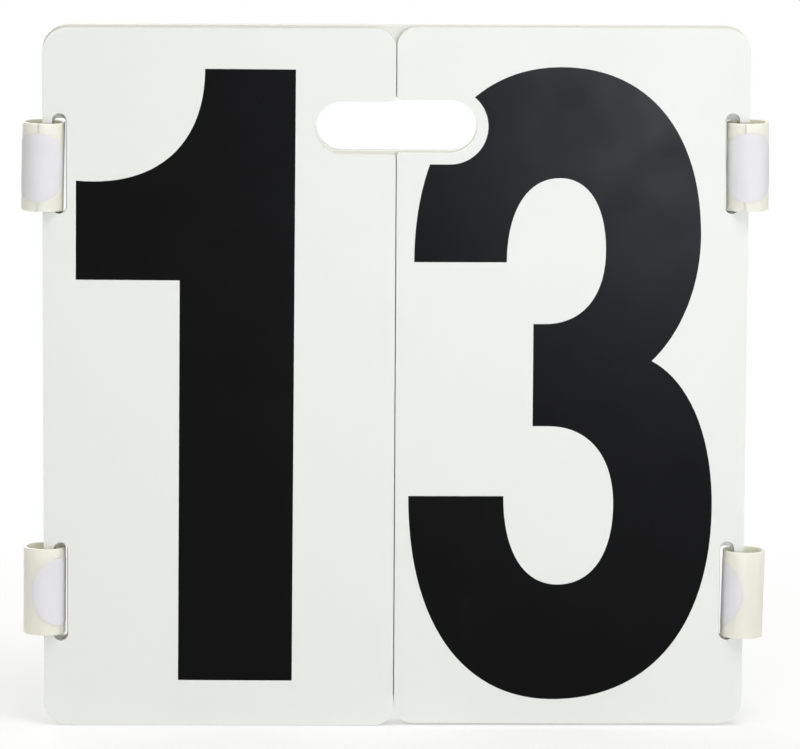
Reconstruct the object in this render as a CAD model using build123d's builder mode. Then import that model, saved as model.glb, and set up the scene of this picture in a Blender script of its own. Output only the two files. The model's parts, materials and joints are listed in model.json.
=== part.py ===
from build123d import *
import math
import os

# A hand-held two-digit flip board. X runs to the reader's right, +Y away from the
# reader and +Z up. The origin is the centre of the grip hole, on the board's front face.

# ---------------------------------------------------------------- driving dimensions, mm
board_width = 354.6
card_height = 355.6
board_short = 12.7  # the backing board is this much lower than a card is high
card_gap = 0.5  # between the left and the right cards
side_drop = {"left": 1.4, "right": 0.6}  # how far each side's cards hang below the board's top

board_thick = 5.3
sheet_thick = 0.66
film_thick = 0.04
air_gap = 0.02
pitch = air_gap + sheet_thick + film_thick

outer_radius = 12.7
inner_radius = 9.8
edge_chamfer = 0.1

grip_length = 81.0
grip_height = 27.0
grip_below_top = 49.8
grip_lip_radius = 2.0

slot_length = 50.8
slot_width = 7.2
slot_from_edge = 8.5  # card's outer edge to the slot's centre line
upper_slot_from_top = 68.2  # card's upper edge to the slot's centre
lower_slot_from_foot = 68.9  # card's lower edge to the slot's centre

# The board's slots are closer to the rings all round, so they carry them.
board_slot_length = 47.2
board_slot_width = 5.6
board_slot_corner = 1.5
board_slot_from_edge = 8.75
board_slot_drop = {"upper": 2.65, "lower": 1.8}  # how much lower they are on the board

ring_outer_radius = 10.67
ring_wall = 1.5
ring_length = 44.45
ring_slit = 0.3
ring_chamfer = 0.3
edge_to_hinge = 0.15  # card's outer edge to the hinge axis, just beyond it

label_thick = 0.12
label_radius = 17.5

numeral_height = 322.0
numeral_width = 151.0
numeral_below_top = 20.0
numeral_x = {"left": -88.3, "right": 84.6}
numeral_lean = {"left": 0.25, "right": 0.0}  # degrees, top towards +X: the films are stuck on by hand
upright_stroke = 51.0
level_stroke = 55.7
grip_margin = 5.7  # bare band kept around the grip hole
curve_fullness = 0.62
touching = 0.01

front_digits = {"left": range(1, 10), "right": range(3, 10)}
back_digits = {"left": range(0, 1), "right": range(0, 3)}
sides = {"left": -1, "right": 1}

# Each ring hangs loosely, its drop measured like the board's slots'. Angles are in degrees: the
# lean is positive when the top is towards +X, and the slit and the label's middle are measured
# from the front, positive towards +X.
rings = {
    "upper_left": {"drop": 3.1, "shift": 0.25, "lean": 1.2, "slit": -13.0, "label": -18.0},
    "upper_right": {"drop": 2.2, "shift": -0.5, "lean": -0.5, "slit": -10.0, "label": 3.0},
    "lower_left": {"drop": 1.1, "shift": 0.25, "lean": 0.4, "slit": 53.0, "label": 56.0},
    "lower_right": {"drop": 2.5, "shift": 0.0, "lean": 1.1, "slit": -92.0, "label": -97.0},
}

# ---------------------------------------------------------------- worked-out places
top_z = grip_below_top
bottom_z = top_z - card_height
slot_z = {"upper": top_z - upper_slot_from_top, "lower": bottom_z + lower_slot_from_foot}
half_width = board_width / 2
card_width = half_width - card_gap / 2
card_centre_x = card_gap / 2 + card_width / 2
slot_x = half_width - slot_from_edge
board_slot_x = half_width - board_slot_from_edge
hinge_x = half_width + edge_to_hinge
numeral_centre_z = top_z - numeral_below_top - numeral_height / 2

os.makedirs("parts", exist_ok=True)


def hinge_y(side):
    """Depth of a side's hinge axis: the middle of its pack, never in front of the board."""
    front = len(front_digits[side]) * pitch
    back = board_thick + len(back_digits[side]) * pitch
    return max(0.0, (back - front) / 2)


def facing(y):
    """Sketch plane at depth y, seen from the front: x is +X, y is +Z, extrusion goes to -Y."""
    return Plane((0, y, 0), x_dir=(1, 0, 0), z_dir=(0, -1, 0))


def save(part, name):
    part.label = name
    export_step(part, f"parts/{name}.step")


# ---------------------------------------------------------------- backing board
board_height = card_height - board_short
board_slots = [
    (way * board_slot_x, slot_z[row] - drop)
    for way in sides.values()
    for row, drop in board_slot_drop.items()
]
with BuildPart() as base_board:
    with BuildSketch(facing(board_thick)):
        with Locations((0, top_z - board_height / 2)):
            RectangleRounded(board_width, board_height, outer_radius)
        SlotOverall(grip_length, grip_height, mode=Mode.SUBTRACT)
        with Locations(*board_slots):
            RectangleRounded(board_slot_width, board_slot_length, board_slot_corner, mode=Mode.SUBTRACT)
    extrude(amount=board_thick)
    faces = base_board.faces().filter_by(Axis.Y)
    chamfer(faces.edges(), length=2 * edge_chamfer)
save(base_board.part, "base_board")


# ---------------------------------------------------------------- cards
def round_corners(outline, radius, wanted):
    """Round the corners of the sketch that wanted(x, z) picks."""
    fillet(outline.vertices().filter_by(lambda v: wanted(abs(v.X), v.Y)), radius)


def make_card(side, back_y, drop):
    """One half-width card whose back face is at back_y."""
    way = sides[side]
    slots = [(way * slot_x, z - drop) for z in slot_z.values()]

    def at_end(z):
        return z > top_z - drop - 1 or z < bottom_z - drop + 1

    with BuildPart() as card:
        with BuildSketch(facing(back_y)) as outline:
            with Locations((way * card_centre_x, (top_z + bottom_z) / 2 - drop)):
                Rectangle(card_width, card_height)
            with Locations((0, -drop)):
                SlotOverall(grip_length, grip_height, mode=Mode.SUBTRACT)
            with Locations(*slots):
                SlotOverall(slot_length, slot_width, rotation=90, mode=Mode.SUBTRACT)
            round_corners(outline, outer_radius, lambda x, z: at_end(z) and x > card_centre_x)
            round_corners(outline, inner_radius, lambda x, z: at_end(z) and x < card_gap)
            round_corners(outline, grip_lip_radius, lambda x, z: abs(z) < grip_height and x < card_gap)
        extrude(amount=sheet_thick)
        chamfer(card.faces().filter_by(Axis.Y).edges(), length=edge_chamfer)
    return card.part


# ---------------------------------------------------------------- numerals
# A numeral is a list of closed outlines, the first filled and the rest cut out of it. An
# outline is a list of moves in mm about the numeral's centre: a point, reached in a straight
# line, or a pair (corner, point), reached by a curve that leaves towards the corner.
half_w = numeral_width / 2
half_h = numeral_height / 2
counter_w = half_w - upright_stroke  # half width of an inner opening
counter_h = half_h - level_stroke  # its roof above the numeral's centre
hook_inner = counter_w - 3.3  # right side of the opening in the upper bowl of the 2 and the 3


def arch(x, spring, crown):
    """Moves from (-x, spring) up over (0, crown) and down to (x, spring)."""
    return [((-x, crown), (0, crown)), ((x, crown), (x, spring))]


def oval(x, upper_spring, crown, lower_spring, foot):
    """Closed outline of two arches joined by straight sides."""
    underside = [((x, foot), (0, foot)), ((-x, foot), (-x, lower_spring))]
    return [(-x, upper_spring), *arch(x, upper_spring, crown), (x, lower_spring), *underside]


def numeral_0():
    straight = 40
    outer = oval(half_w, straight, half_h, -straight, -half_h)
    inner = oval(counter_w, counter_h - 45, counter_h, 45 - counter_h, -counter_h)
    return [outer, inner]


def numeral_1():
    right, left, flag = 37.2, -20.5, -72.7
    head, foot = 160.8, -151.3
    flag_top, flag_foot = 104.0, 53.8
    crook = left + 12.3
    dip = 5.8  # the flag's curve aims this far below its top
    return [[
        (crook, head), (right, head), (right, foot), (left, foot), (left, flag_foot),
        (flag, flag_foot), (flag, flag_top), ((crook, flag_top - dip), (crook, head)),
    ]]


def upper_hook(body):
    """Upper bowl shared by the 2 and the 3: its terminal, then the moves in body."""
    bowl, terminal = 69, 62.5
    left, hook_x = 0.2 - half_w, -counter_w - 4.2
    crown = half_h + 0.3
    return [[
        (left, terminal),
        ((left, crown), (-1.8, crown)),
        ((bowl, crown), (bowl, 75.1)),
        *body,
        ((hook_inner, counter_h), (-2.2, counter_h)),
        ((hook_x, counter_h), (hook_x, terminal)),
    ]]


def numeral_2():
    foot = level_stroke - half_h
    right = half_w - 3
    return upper_hook([
        ((70, 34), (34, -22)),
        (8, -64),
        ((-8, -90), (-9, foot)),
        (right, foot),
        (right, -half_h),
        (-half_w, -half_h),
        (-half_w, -142),
        ((-half_w, -98), (-42, -40)),
        (-10, 10),
        ((hook_inner, 50), (hook_inner, 70)),
    ])


def numeral_3():
    waist = (44.8, 12.4)
    right, left, foot = half_w + 0.7, -half_w - 2.1, -half_h - 1.0
    tongue_x, tongue_top, tongue_foot = -15.0, 31.1, -21.1
    terminal, floor = -57.1, -102.6
    inner_left, inner_right = -counter_w - 5.0, counter_w + 1.7
    return upper_hook([
        ((68.7, 35.3), waist),
        ((right, -4.1), (right, -62.7)),
        ((right, foot), (-4.0, foot)),
        ((left, foot), (left, terminal)),
        (inner_left, terminal),
        ((inner_left, floor), (-1.9, floor)),
        ((inner_right, floor), (inner_right, -61.6)),
        ((inner_right, tongue_foot), (-7.0, tongue_foot)),
        (tongue_x, tongue_foot),
        (tongue_x, tongue_top),
        (-9.2, tongue_top),
        ((hook_inner, tongue_top), (hook_inner, 68.2)),
    ])


def numeral_4():
    stem_left, stem_right = 6, 57
    bar_top, bar_foot = -48, -100
    outer = [
        (stem_left - 2, half_h), (stem_right, half_h), (stem_right, bar_top), (half_w, bar_top),
        (half_w, bar_foot), (stem_right, bar_foot), (stem_right, -half_h), (stem_left, -half_h),
        (stem_left, bar_foot), (-half_w, bar_foot), (-half_w, bar_top),
    ]
    inner = [(stem_left, 74), (stem_left, bar_top), (-38, bar_top)]
    return [outer, inner]


def numeral_5():
    bar_right, bar_foot = half_w - 9, half_h - 54
    crown, roof = 62, 8
    left, terminal, floor = -half_w - 1, -60, -101.7
    inner_left = -counter_w - 4
    return [[
        (13 - half_w, half_h),
        (bar_right, half_h),
        (bar_right, bar_foot),
        (-18, bar_foot),
        (-22, 46),
        ((-8, crown), (16, crown)),
        ((half_w, crown), (half_w, -30)),
        (half_w, -62),
        ((half_w, -half_h), (-1, -half_h)),
        ((left, -half_h), (left, terminal)),
        (inner_left, terminal),
        ((inner_left, floor), (-1, floor)),
        ((counter_w, floor), (counter_w, -62)),
        (counter_w, -26),
        ((counter_w, roof), (0, roof)),
        ((-20, roof), (-26, -14)),
        (4 - half_w, -14),
    ]]


def numeral_6():
    terminal, shoulder = 64, 46
    outer = [
        (half_w - 2, terminal),
        ((half_w - 2, half_h), (0, half_h)),
        ((-half_w, half_h), (-half_w, 50)),
        (-half_w, -50),
        ((-half_w, -half_h), (0, -half_h)),
        ((half_w, -half_h), (half_w, -62)),
        (half_w, -38),
        ((half_w, shoulder), (16, shoulder)),
        ((-14, shoulder), (-counter_w, 26)),
        (-counter_w, terminal),
        *arch(counter_w, terminal, counter_h),
    ]
    inner = oval(counter_w, -34, -4, -72, -counter_h)
    return [outer, inner]


def numeral_7():
    bar_foot = half_h - 54
    return [[
        (-half_w, half_h), (half_w, half_h), (half_w, bar_foot + 4), ((16, -10), (8, -half_h)),
        (-48, -half_h), ((-38, 6), (18, bar_foot)), (-half_w, bar_foot),
    ]]


def numeral_8():
    bowl, hip = 70, -60
    waist_x, waist_z = 46, 10
    outer = [
        (-waist_x, waist_z),
        ((-bowl, 36), (-bowl, 80)),
        *arch(bowl, 80, half_h),
        ((bowl, 36), (waist_x, waist_z)),
        ((half_w, -18), (half_w, hip)),
        ((half_w, -half_h), (0, -half_h)),
        ((-half_w, -half_h), (-half_w, hip)),
        ((-half_w, -18), (-waist_x, waist_z)),
    ]
    upper = oval(22, 70, counter_h, 70, 34)
    lower = oval(counter_w, hip, -18, hip, -counter_h)
    return [outer, upper, lower]


def turned(point):
    return (-point[0], -point[1])


def numeral_9():
    """The 6 turned by half a turn."""
    return [
        [tuple(map(turned, move)) if is_curve(move) else turned(move) for move in outline]
        for outline in numeral_6()
    ]


numeral_outlines = [
    numeral_0, numeral_1, numeral_2, numeral_3, numeral_4,
    numeral_5, numeral_6, numeral_7, numeral_8, numeral_9,
]


def is_curve(move):
    return isinstance(move[0], tuple)


def draw_outline(moves, centre, lean):
    """Lines and curves of one closed outline, turned by the lean about the given centre."""
    def shifted(point):
        return Vector(*point).rotate(Axis.Z, -lean) + Vector(*centre)

    first = here = shifted(moves[0])
    for move in moves[1:]:
        if is_curve(move):
            corner, end = shifted(move[0]), shifted(move[1])
            leaving = here + (corner - here) * curve_fullness
            arriving = end + (corner - end) * curve_fullness
            Bezier(here, leaving, arriving, end)
        else:
            end = shifted(move)
            if (end - here).length > touching:
                Line(here, end)
        here = end
    if (here - first).length > touching:
        Line(here, first)


def make_numeral(side, digit, back_y, drop):
    """The black film of one numeral, whose back face is at back_y."""
    centre = (numeral_x[side], numeral_centre_z - drop)
    with BuildPart() as numeral:
        with BuildSketch(facing(back_y)):
            for index, moves in enumerate(numeral_outlines[digit]()):
                with BuildLine():
                    draw_outline(moves, centre, numeral_lean[side])
                make_face(mode=Mode.SUBTRACT if index else Mode.ADD)
            with Locations((0, -drop)):
                bare_length = grip_length + 2 * grip_margin
                bare_height = grip_height + 2 * grip_margin
                SlotOverall(bare_length, bare_height, mode=Mode.SUBTRACT)
        extrude(amount=film_thick)
    return numeral.part


for side in sides:
    drop = side_drop[side]
    front_order = reversed(front_digits[side])  # from the board outwards
    for layer, digit in enumerate(front_order):
        sheet_back = -layer * pitch - air_gap
        save(make_card(side, sheet_back, drop), f"{side}_card_{digit}")
        save(make_numeral(side, digit, sheet_back - sheet_thick, drop), f"{side}_numeral_{digit}")
    for layer, digit in enumerate(back_digits[side]):
        film_back = board_thick + layer * pitch + air_gap + film_thick
        save(make_numeral(side, digit, film_back, drop), f"{side}_numeral_{digit}")
        save(make_card(side, film_back + sheet_thick, drop), f"{side}_card_{digit}")


# ---------------------------------------------------------------- ring tubes and labels
def ring_plane(centre, lean, along, angle):
    """Plane square to a ring's axis, at a distance along it, its x towards angle from the front."""
    axis = Vector(math.sin(lean), 0, math.cos(lean))
    across = Vector(math.cos(lean), 0, -math.sin(lean))
    towards = across * math.sin(angle) + Vector(0, -math.cos(angle), 0)
    return Plane(Vector(*centre) + axis * along, x_dir=towards, z_dir=axis)


def make_ring(centre, lean, slit_angle):
    """A tube slit along its length at slit_angle from the front."""
    foot = ring_plane(centre, lean, -ring_length / 2, slit_angle)
    with BuildPart() as ring:
        with BuildSketch(foot):
            Circle(ring_outer_radius)
            Circle(ring_outer_radius - ring_wall, mode=Mode.SUBTRACT)
        extrude(amount=ring_length)
        chamfer(ring.edges().filter_by(GeomType.CIRCLE), length=ring_chamfer)
        with BuildSketch(foot):
            with Locations((ring_outer_radius, 0)):
                Rectangle(2 * ring_outer_radius, ring_slit)
        extrude(amount=ring_length, mode=Mode.SUBTRACT)
    return ring.part


def make_label(centre, lean, middle_angle):
    """A round paper label wrapped on a tube, its middle at middle_angle from the front.

    The outline of a disc bent round a cylinder is close to the cylinder's cut by an ellipse on a
    plane through its axis. The ellipse is sized to meet the disc's outline at its upper, lower and
    two side points.
    """
    reach = math.pi**2 / 4 - 2
    far = ring_outer_radius / reach
    across = math.sqrt(label_radius**2 / reach + far**2)
    along = math.sqrt(label_radius**2 + ring_outer_radius * far)
    foot = ring_plane(centre, lean, -label_radius, middle_angle)
    side = Plane(centre, x_dir=foot.x_dir, z_dir=foot.y_dir)
    with BuildPart() as label:
        with BuildSketch(foot):
            Circle(ring_outer_radius + label_thick)
            Circle(ring_outer_radius, mode=Mode.SUBTRACT)
        extrude(amount=2 * label_radius)
        with BuildSketch(side):
            with Locations((ring_outer_radius + far, 0)):
                Ellipse(across, along)
        extrude(amount=2 * ring_outer_radius, both=True, mode=Mode.INTERSECT)
    return label.part


for side, way in sides.items():
    for row, nominal_z in slot_z.items():
        place = f"{row}_{side}"
        ring = rings[place]
        centre = (way * hinge_x + ring["shift"], hinge_y(side), nominal_z - ring["drop"])
        lean = math.radians(ring["lean"])
        save(make_ring(centre, lean, math.radians(ring["slit"])), f"{place}_ring")
        save(make_label(centre, lean, math.radians(ring["label"])), f"{place}_label")
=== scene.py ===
import json
import math

import bpy
import numpy as np
from mathutils import Matrix, Vector


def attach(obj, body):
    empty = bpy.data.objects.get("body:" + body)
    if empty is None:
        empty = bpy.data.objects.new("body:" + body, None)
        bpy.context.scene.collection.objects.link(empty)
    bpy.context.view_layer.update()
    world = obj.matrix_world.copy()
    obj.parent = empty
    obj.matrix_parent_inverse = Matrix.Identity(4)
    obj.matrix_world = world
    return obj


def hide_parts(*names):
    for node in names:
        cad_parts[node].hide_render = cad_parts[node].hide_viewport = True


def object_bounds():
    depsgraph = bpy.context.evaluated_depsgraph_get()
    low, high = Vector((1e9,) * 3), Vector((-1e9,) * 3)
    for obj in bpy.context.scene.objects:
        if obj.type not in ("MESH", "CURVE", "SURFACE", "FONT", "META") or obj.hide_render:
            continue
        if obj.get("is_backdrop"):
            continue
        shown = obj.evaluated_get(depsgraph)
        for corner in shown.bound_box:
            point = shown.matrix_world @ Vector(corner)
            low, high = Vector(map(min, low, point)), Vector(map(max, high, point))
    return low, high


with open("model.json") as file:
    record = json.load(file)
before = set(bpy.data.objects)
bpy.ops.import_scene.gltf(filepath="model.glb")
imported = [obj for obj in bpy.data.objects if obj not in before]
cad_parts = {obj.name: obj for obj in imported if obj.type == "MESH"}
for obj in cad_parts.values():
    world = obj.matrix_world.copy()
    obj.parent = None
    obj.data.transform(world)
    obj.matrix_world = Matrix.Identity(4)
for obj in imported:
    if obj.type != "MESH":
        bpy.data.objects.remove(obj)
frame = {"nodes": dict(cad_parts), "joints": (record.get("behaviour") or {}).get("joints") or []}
nodes = frame["nodes"]
joints = {joint["name"]: joint for joint in frame["joints"]}
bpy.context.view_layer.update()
print("frame loaded:", len(nodes), "nodes")

mm = 0.001
white = (1, 1, 1, 1)


def addMesh(name, points, faces, smooth=True):
    # points is an (n, 3) array in metres, faces a list of index tuples
    mesh = bpy.data.meshes.new(name)
    mesh.from_pydata(points.tolist(), [], [tuple(face) for face in faces])
    mesh.polygons.foreach_set("use_smooth", np.full(len(mesh.polygons), smooth))
    mesh.update()
    piece = bpy.data.objects.new(name, mesh)
    bpy.context.scene.collection.objects.link(piece)
    return piece


def gridFaces(rows, columns):
    # quads of a grid whose point (i, j) has index i * columns + j, closed along j
    i = np.arange(rows - 1)[:, None]
    j = np.arange(columns)[None, :]
    iNext, jNext = i + 1, (j + 1) % columns
    quads = np.stack(np.broadcast_arrays(
        i * columns + j, iNext * columns + j, iNext * columns + jNext, i * columns + jNext), -1)
    return quads.reshape(-1, 4).tolist()


# small helpers for shader nodes; owner is a material or the world
def addNode(owner, kind, place, **values):
    node = owner.node_tree.nodes.new(kind)
    node.location = place
    for key, value in values.items():
        setattr(node, key, value)
    return node


def join(owner, source, target):
    owner.node_tree.links.new(source, target)


def objectNoise(owner, scale, detail, stretch):
    # noise on Object coordinates; stretch squeezes it along an axis
    coords = addNode(owner, "ShaderNodeTexCoord", (-1100, 0))
    mapping = addNode(owner, "ShaderNodeMapping", (-900, 0))
    mapping.inputs["Scale"].default_value = stretch
    noise = addNode(owner, "ShaderNodeTexNoise", (-700, 0))
    noise.inputs["Scale"].default_value = scale
    noise.inputs["Detail"].default_value = detail
    join(owner, coords.outputs["Object"], mapping.inputs["Vector"])
    join(owner, mapping.outputs["Vector"], noise.inputs["Vector"])
    return noise.outputs["Fac"]


noiseMiddle = (0.3, 0.7)  # where nearly all of a noise's values lie


def remap(owner, source, low, high):
    # stretches the middle of a noise to the span low to high
    node = addNode(owner, "ShaderNodeMapRange", (-450, 0))
    node.inputs["From Min"].default_value = noiseMiddle[0]
    node.inputs["From Max"].default_value = noiseMiddle[1]
    node.inputs["To Min"].default_value = low
    node.inputs["To Max"].default_value = high
    join(owner, source, node.inputs["Value"])
    return node.outputs["Result"]


def byIdentifier(sockets, identifier):
    # a Mix node has several sockets of one name, and only the identifier tells them apart
    return next(socket for socket in sockets if socket.identifier == identifier)


def mixColours(owner, factor, first, second):
    node = addNode(owner, "ShaderNodeMix", (-250, 100), data_type="RGBA")
    byIdentifier(node.inputs, "A_Color").default_value = (*first, 1)
    byIdentifier(node.inputs, "B_Color").default_value = (*second, 1)
    join(owner, factor, byIdentifier(node.inputs, "Factor_Float"))
    return byIdentifier(node.outputs, "Result_Color")


# what all the plastics share: how fine the noises are, and how far roughness and grain go
plasticMake = {
    "cloudDetail": 3, "streakFiner": 3, "streakDetail": 2, "roughnessSwing": 0.03,
    "grainDetail": 2, "grainDepth": 0.05, "index": 1.5, "glowSpread": (1, 1, 0.8),
}


def satinPlastic(name, look):
    # two near tones in soft clouds, a roughness that wanders a little, and a fine grain
    material = bpy.data.materials.new(name)
    material.use_nodes = True
    shader = material.node_tree.nodes["Principled BSDF"]
    make, stretch = plasticMake, look["stretch"]

    clouds = objectNoise(material, look["cloudScale"], make["cloudDetail"], stretch)
    share = remap(material, clouds, 0, 1)
    tone = mixColours(material, share, look["tone"], look["otherTone"])
    join(material, tone, shader.inputs["Base Color"])

    streakScale = look["cloudScale"] * make["streakFiner"]
    streaks = objectNoise(material, streakScale, make["streakDetail"], stretch)
    least = look["roughness"] - make["roughnessSwing"]
    most = look["roughness"] + make["roughnessSwing"]
    join(material, remap(material, streaks, least, most), shader.inputs["Roughness"])

    grain = objectNoise(material, look["grainScale"], make["grainDetail"], stretch)
    bump = addNode(material, "ShaderNodeBump", (-250, -300))
    bump.inputs["Strength"].default_value = look["grain"]
    bump.inputs["Distance"].default_value = make["grainDepth"] * mm
    join(material, grain, bump.inputs["Height"])
    join(material, bump.outputs["Normal"], shader.inputs["Normal"])

    shader.inputs["Specular IOR Level"].default_value = look["specular"]
    shader.inputs["IOR"].default_value = make["index"]
    shader.inputs["Subsurface Weight"].default_value = look.get("glow", 0)
    shader.inputs["Subsurface Radius"].default_value = make["glowSpread"]
    shader.inputs["Subsurface Scale"].default_value = look.get("glowDepth", 1) * mm
    return material


def dress(piece, material):
    piece.data.materials.clear()
    piece.data.materials.append(material)


# backing board
boardLook = {
    "tone": (0.77, 0.77, 0.715), "otherTone": (0.8, 0.797, 0.745),
    "cloudScale": 9, "stretch": (1, 1, 1),
    "roughness": 0.55, "specular": 0.4, "grainScale": 900, "grain": 0.25,
}
dress(nodes["base_board"], satinPlastic("boardPlastic", boardLook))
print("board dressed")

# cards and their numerals
cardLook = {
    "tone": (0.768, 0.778, 0.731), "otherTone": (0.782, 0.79, 0.745),
    "cloudScale": 6, "stretch": (1, 1, 1),
    "roughness": 0.45, "specular": 0.4, "grainScale": 1400, "grain": 0.2,
}
numeralLook = {
    "tone": (0.001, 0.001, 0.0012), "otherTone": (0.0016, 0.0016, 0.0018),
    "cloudScale": 12, "stretch": (1, 1, 1),
    "roughness": 0.25, "specular": 0.075, "grainScale": 1800, "grain": 0.1,
}
cardPlastic = satinPlastic("cardPlastic", cardLook)
numeralFilm = satinPlastic("numeralFilm", numeralLook)
for name, node in nodes.items():
    if "_card_" in name:
        dress(node, cardPlastic)
    if "_numeral_" in name:
        dress(node, numeralFilm)
print("cards dressed")

# ring tubes and the paper labels on them; lengths in mm
ringLook = {
    "tone": (0.8, 0.8, 0.675), "otherTone": (0.842, 0.838, 0.728),
    "cloudScale": 40, "stretch": (1, 1, 0.12),
    "roughness": 0.4, "specular": 0.45, "grainScale": 900, "grain": 0.3,
    "glow": 0.55, "glowDepth": 3.5,  # light goes this far into the wall
}
ringShape = {
    "outerRadius": 10.67, "wall": 1.5, "length": 44.45, "slit": 0.1,
    "edgeRound": 0.35, "roundSteps": 6, "turnSteps": 192,
    "sawDepth": 0.05, "sawWaves": 3, "sawShift": 2,  # the sawn ends aren't quite flat
}
labelLook = {
    "tone": (0.73, 0.722, 0.73), "otherTone": (0.755, 0.748, 0.752),
    "cloudScale": 60, "stretch": (1, 1, 1),
    "roughness": 0.62, "specular": 0.3, "grainScale": 2500, "grain": 0.4,
}
labelShape = {
    "radius": 17.5, "thick": 0.12, "rimRound": 0.05, "glueGap": 0.005,
    "circles": 24, "circleSpread": 0.8, "spokes": 128,
}
tubeTurns = {  # where a slit and a label's middle are, in degrees from the front towards +X
    "upper_left": {"slit": -13, "label": -18},
    "upper_right": {"slit": -10, "label": 3},
    "lower_left": {"slit": 53, "label": 56},
    "lower_right": {"slit": -92, "label": -97},
}
creaseAngle = 40  # degrees


def onTube(place, radius, angle, height):
    # centre + radius * (sin(angle) across - cos(angle) away) + height along, in metres, where
    # along is the tube's axis, away points from the reader, and angle 0 is at the front
    joint = joints[f"{place}_spin"]
    centre = np.array(joint["pos_m"], float)
    along = np.array(joint["axis"], float)
    along /= np.linalg.norm(along)
    away = np.array([0.0, 1.0, 0.0])
    across = np.cross(away, along)
    radius, angle, height = np.broadcast_arrays(radius, angle, height)
    points = (centre + (radius * np.sin(angle))[..., None] * across
              - (radius * np.cos(angle))[..., None] * away + height[..., None] * along)
    return points.reshape(-1, 3)


def ringProfile(shape):
    # a rounded rectangle as wide as the wall and as high as the tube, in (radius, height)
    steps, rounding = shape["roundSteps"], shape["edgeRound"]
    quarter = np.linspace(0, math.pi / 2, steps)
    turn = np.concatenate([quarter + k * math.pi / 2 for k in range(4)])
    halfWall, halfLength = shape["wall"] / 2 - rounding, shape["length"] / 2 - rounding
    sideX = np.repeat([1, -1, -1, 1], steps) * halfWall
    sideZ = np.repeat([1, 1, -1, -1], steps) * halfLength
    middle = shape["outerRadius"] - shape["wall"] / 2
    return middle + sideX + rounding * np.cos(turn), sideZ + rounding * np.sin(turn)


def makeRing(place, shape):
    # the profile carried round the axis from one side of the slit to the other, whose two
    # sides stay parallel: at radius r it starts asin(slit / 2r) from the slit's middle
    radius, height = ringProfile(shape)
    start = np.arcsin(shape["slit"] / 2 / radius)
    share = np.linspace(0, 1, shape["turnSteps"])[:, None]
    angle = math.radians(tubeTurns[place]["slit"]) + start + share * (2 * math.pi - 2 * start)
    end = np.sign(height)  # 1 at the upper end and -1 at the lower
    wave = shape["sawDepth"] * np.sin(shape["sawWaves"] * angle + shape["sawShift"] * end) * end
    points = onTube(place, radius * mm * np.ones_like(share), angle, (height + wave) * mm)
    rows, columns = shape["turnSteps"], len(radius)
    faces = gridFaces(rows, columns)
    faces += [list(range(columns))[::-1], list(range((rows - 1) * columns, rows * columns))]
    return addMesh(f"{place}_tube", points, faces)


def makeLabel(place, shape):
    # a flat disc (rho, theta) bent round the tube: rho * cos(theta) runs round it and
    # rho * sin(theta) along it. It goes out over the top, round the rim and back underneath
    outward = np.linspace(0, 1, shape["circles"])[1:] ** shape["circleSpread"]
    thick, topRadius = shape["thick"], shape["radius"] - shape["rimRound"]
    rho = np.concatenate([outward * topRadius, [shape["radius"]], (outward * topRadius)[::-1]])
    lift = np.concatenate([np.full(len(outward), thick), [thick / 2], np.zeros(len(outward))])
    theta = np.linspace(0, 2 * math.pi, shape["spokes"], endpoint=False)
    around, along = np.outer(rho, np.cos(theta)), np.outer(rho, np.sin(theta))
    base = ringShape["outerRadius"] + shape["glueGap"]
    middle = math.radians(tubeTurns[place]["label"])
    radius = (base + lift)[:, None] * np.ones_like(theta)
    body = onTube(place, radius * mm, middle + around / base, along * mm)
    poles = onTube(place, np.array([base + thick, base]) * mm, middle, 0.0)
    rows, columns = len(rho), shape["spokes"]
    topPole, basePole = rows * columns, rows * columns + 1
    spoke = np.arange(columns)
    after, last = (spoke + 1) % columns, (rows - 1) * columns
    faces = gridFaces(rows, columns)
    faces += np.stack([np.full(columns, topPole), spoke, after], -1).tolist()
    faces += np.stack([np.full(columns, basePole), last + after, last + spoke], -1).tolist()
    return addMesh(f"{place}_paperLabel", np.concatenate([body, poles]), faces)


def smoothShell(piece):
    # turns the faces outwards, and shades smoothly except over creases
    bpy.context.view_layer.objects.active = piece
    piece.select_set(True)
    bpy.ops.object.mode_set(mode="EDIT")
    bpy.ops.mesh.select_all(action="SELECT")
    bpy.ops.mesh.normals_make_consistent(inside=False)
    bpy.ops.object.mode_set(mode="OBJECT")
    bpy.ops.object.shade_smooth_by_angle(angle=math.radians(creaseAngle))
    piece.select_set(False)


ringPlastic = satinPlastic("ringPlastic", ringLook)
labelPaper = satinPlastic("labelPaper", labelLook)
for place in tubeTurns:
    ring, label = makeRing(place, ringShape), makeLabel(place, labelShape)
    for piece, material, part in ((ring, ringPlastic, "ring"), (label, labelPaper, "label")):
        smoothShell(piece)
        dress(piece, material)
        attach(piece, f"{place}_tube")
        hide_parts(f"{place}_{part}")
print("tubes and labels made")

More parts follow.
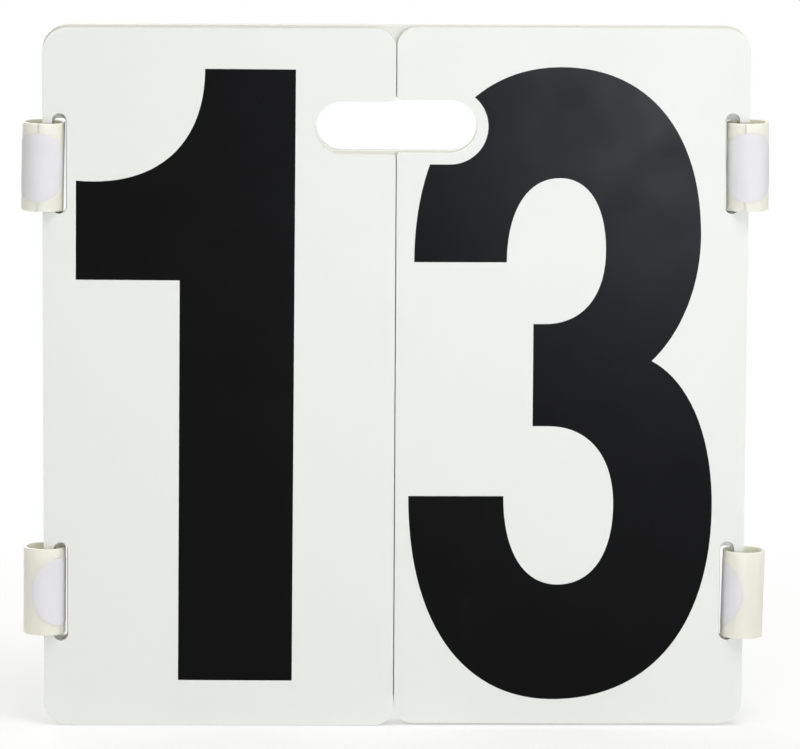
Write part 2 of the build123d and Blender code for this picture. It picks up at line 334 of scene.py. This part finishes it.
# floor, light and camera; lengths in metres, power in watts, angles in degrees
floorLook = {
    "drop": 0.0003, "size": 60.0, "seenTone": 0.98, "bounceTone": 0.9,
    "fadeFrom": 0.1, "fadeTo": 0.7, "fadeLeast": 0.3,  # it fades to white further out
}
worldLook = {"light": 0.45, "tint": (1, 1, 0.96)}
lamps = {
    "top": {"spot": (0.25, -0.6, 1.3), "aim": (0.05, 0, -0.05), "size": 0.8,
            "power": 11.2, "tint": (1, 0.98, 0.98)},
    "sheen": {"spot": (0.25, -1.2, -0.1), "aim": (0.14, 0, -0.02), "size": 0.28,
              "power": 3.7, "tint": (0.84, 0.88, 1)},
    "right": {"spot": (1.4, -0.8, 0.1), "aim": (0.05, 0, -0.15), "size": 0.9,
              "power": 2.3, "tint": (1, 1, 1)},
    "left": {"spot": (-1.4, -0.8, 0.1), "aim": (-0.05, 0, -0.15), "size": 0.9,
             "power": 1.4, "tint": (1, 1, 1)},
    "back": {"spot": (-0.7, 1.7, 0.45), "aim": (0, 0, -0.13), "size": 1.2,
             "power": 14, "tint": (1, 1, 1)},
}
cameraLook = {
    "aim": (0.002575, 0, -0.127423), "distance": 3.2, "azimuth": -1.119, "elevation": 9.3,
    "roll": 0.315, "lens": 285.05, "sensor": 36, "farthest": 100,
}


def seenRays(owner):
    # 1 for rays straight from the camera, or through gloss or glass, and 0 for the rest
    path = addNode(owner, "ShaderNodeLightPath", (-900, 300))
    first = addNode(owner, "ShaderNodeMath", (-700, 300), operation="MAXIMUM")
    join(owner, path.outputs["Is Camera Ray"], first.inputs[0])
    join(owner, path.outputs["Is Glossy Ray"], first.inputs[1])
    both = addNode(owner, "ShaderNodeMath", (-500, 300), operation="MAXIMUM")
    join(owner, first.outputs[0], both.inputs[0])
    join(owner, path.outputs["Is Transmission Ray"], both.inputs[1])
    return both.outputs[0]


def floorFinish(look):
    # matt, and for seen rays mixed with plain white by the distance from the object
    material = bpy.data.materials.new("paleFloor")
    material.use_nodes = True
    material.node_tree.nodes.clear()
    output = addNode(material, "ShaderNodeOutputMaterial", (400, 0))
    matt = addNode(material, "ShaderNodeBsdfDiffuse", (-100, 0))
    glow = addNode(material, "ShaderNodeEmission", (-100, -200))
    glow.inputs["Color"].default_value = white
    seen = seenRays(material)
    tone = mixColours(material, seen, (look["bounceTone"],) * 3, (look["seenTone"],) * 3)
    join(material, tone, matt.inputs["Color"])

    coords = addNode(material, "ShaderNodeTexCoord", (-900, -300))
    away = addNode(material, "ShaderNodeVectorMath", (-700, -300), operation="LENGTH")
    join(material, coords.outputs["Object"], away.inputs[0])
    fade = addNode(material, "ShaderNodeMapRange", (-500, -300), interpolation_type="SMOOTHSTEP")
    fade.inputs["From Min"].default_value = look["fadeFrom"]
    fade.inputs["From Max"].default_value = look["fadeTo"]
    fade.inputs["To Min"].default_value = look["fadeLeast"]
    join(material, away.outputs["Value"], fade.inputs["Value"])
    only = addNode(material, "ShaderNodeMath", (-300, -300), operation="MULTIPLY")
    join(material, fade.outputs["Result"], only.inputs[0])
    join(material, seen, only.inputs[1])

    mix = addNode(material, "ShaderNodeMixShader", (200, 0))
    join(material, only.outputs[0], mix.inputs[0])
    join(material, matt.outputs[0], mix.inputs[1])
    join(material, glow.outputs[0], mix.inputs[2])
    join(material, mix.outputs[0], output.inputs["Surface"])
    return material


def makeFloor(look, height):
    half = look["size"] / 2
    corners = np.array([(x * half, y * half, height)
                        for x, y in ((-1, -1), (1, -1), (1, 1), (-1, 1))])
    floor = addMesh("floor", corners, [(0, 1, 2, 3)], smooth=False)
    dress(floor, floorFinish(look))
    floor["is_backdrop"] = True


def makeWorld(look):
    world = bpy.data.worlds.new("studio")
    bpy.context.scene.world = world
    world.use_nodes = True
    world.node_tree.nodes.clear()
    output = addNode(world, "ShaderNodeOutputWorld", (400, 0))
    lit = addNode(world, "ShaderNodeBackground", (0, 0))
    lit.inputs["Color"].default_value = (*look["tint"], 1)
    lit.inputs["Strength"].default_value = look["light"]
    shown = addNode(world, "ShaderNodeBackground", (0, -200))
    shown.inputs["Color"].default_value = white
    shown.inputs["Strength"].default_value = 1
    mix = addNode(world, "ShaderNodeMixShader", (200, 0))
    join(world, seenRays(world), mix.inputs[0])
    join(world, lit.outputs[0], mix.inputs[1])
    join(world, shown.outputs[0], mix.inputs[2])
    join(world, mix.outputs[0], output.inputs["Surface"])


def makeLamp(name, look):
    data = bpy.data.lights.new(name, "AREA")
    data.shape = "DISK"
    data.size = look["size"]
    data.energy = look["power"]
    data.color = look["tint"]
    lamp = bpy.data.objects.new(name, data)
    lamp.location = look["spot"]
    lamp.rotation_mode = "QUATERNION"
    toAim = Vector(look["aim"]) - Vector(look["spot"])
    lamp.rotation_quaternion = toAim.to_track_quat("-Z", "Y")
    bpy.context.scene.collection.objects.link(lamp)


def makeCamera(look):
    turn, rise = math.radians(look["azimuth"]), math.radians(look["elevation"])
    level = math.cos(rise)
    back = Vector((math.sin(turn) * level, -math.cos(turn) * level, math.sin(rise)))
    data = bpy.data.cameras.new("camera")
    data.sensor_width = look["sensor"]
    data.lens = look["lens"]
    data.clip_end = look["farthest"]
    camera = bpy.data.objects.new("camera", data)
    camera.location = Vector(look["aim"]) + back * look["distance"]
    camera.rotation_mode = "QUATERNION"
    roll = Matrix.Rotation(math.radians(look["roll"]), 4, "Z").to_quaternion()
    camera.rotation_quaternion = (-back).to_track_quat("-Z", "Y") @ roll
    bpy.context.scene.collection.objects.link(camera)
    bpy.context.scene.camera = camera


makeFloor(floorLook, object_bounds()[0].z - floorLook["drop"])
makeWorld(worldLook)
for name, look in lamps.items():
    makeLamp(name, look)
makeCamera(cameraLook)
bpy.context.scene.view_settings.view_transform = "Standard"
print("stage set")
